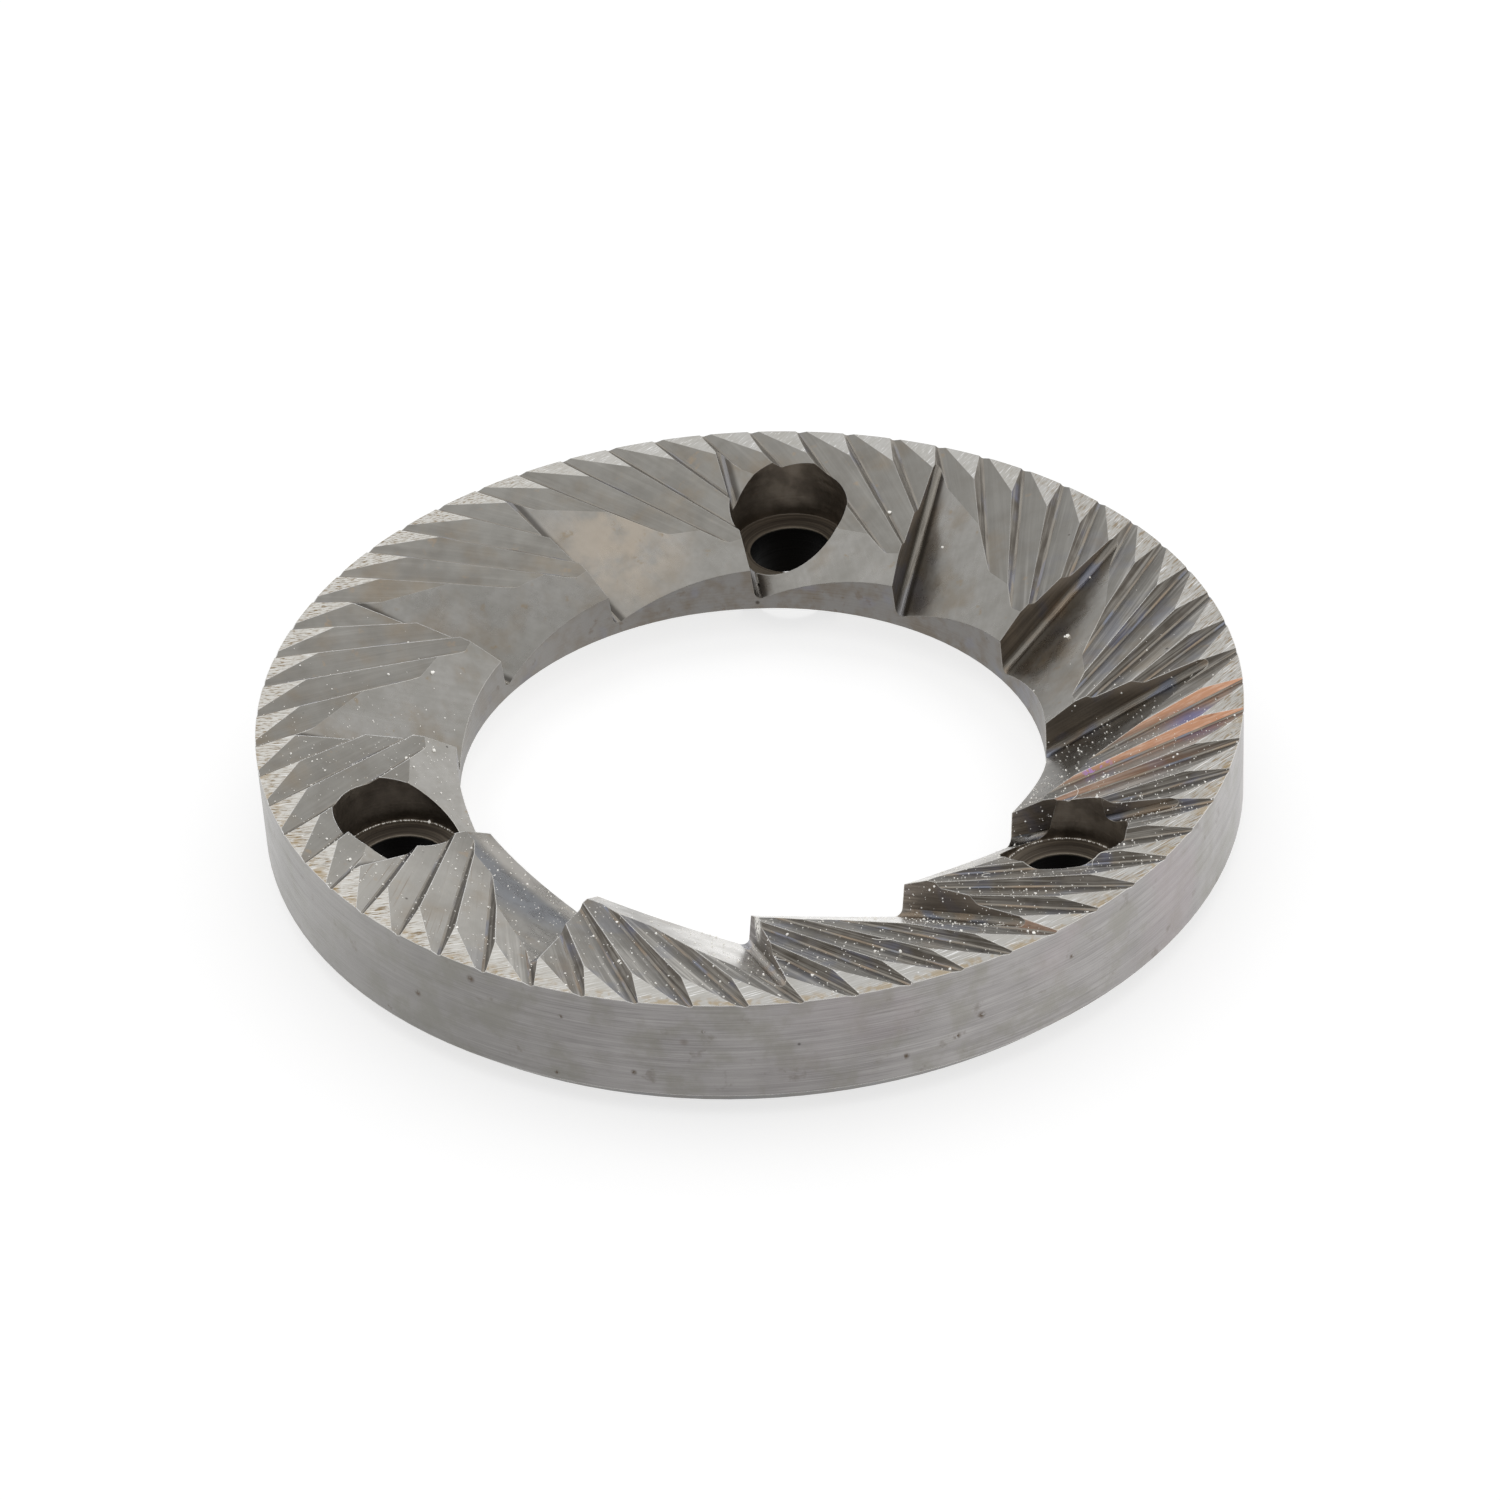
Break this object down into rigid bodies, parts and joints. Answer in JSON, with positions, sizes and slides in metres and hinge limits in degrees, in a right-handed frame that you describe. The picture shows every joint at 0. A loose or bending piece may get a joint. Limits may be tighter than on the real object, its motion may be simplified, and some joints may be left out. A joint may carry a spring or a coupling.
{
  "type": "coffee grinder burr",
  "caption": "Flat grinding burr: a steel ring with slanted breaker teeth round its bore, fine grinding grooves out to the rim and counterbored screw holes.",
  "frame": {"origin": "centre of the ring on its flat back face", "axes": "+Z along the ring's axis, from the back face to the cutting face; the picture looks along +Y from above"},
  "size_m": [0.064, 0.064, 0.0085],
  "materials": {
    "burr_steel": "ground and cut tool steel, worn, with brown staining in the cuts"
  },
  "bodies": {
    "root": {"burr": "burr_steel"}
  },
  "joints": []
}
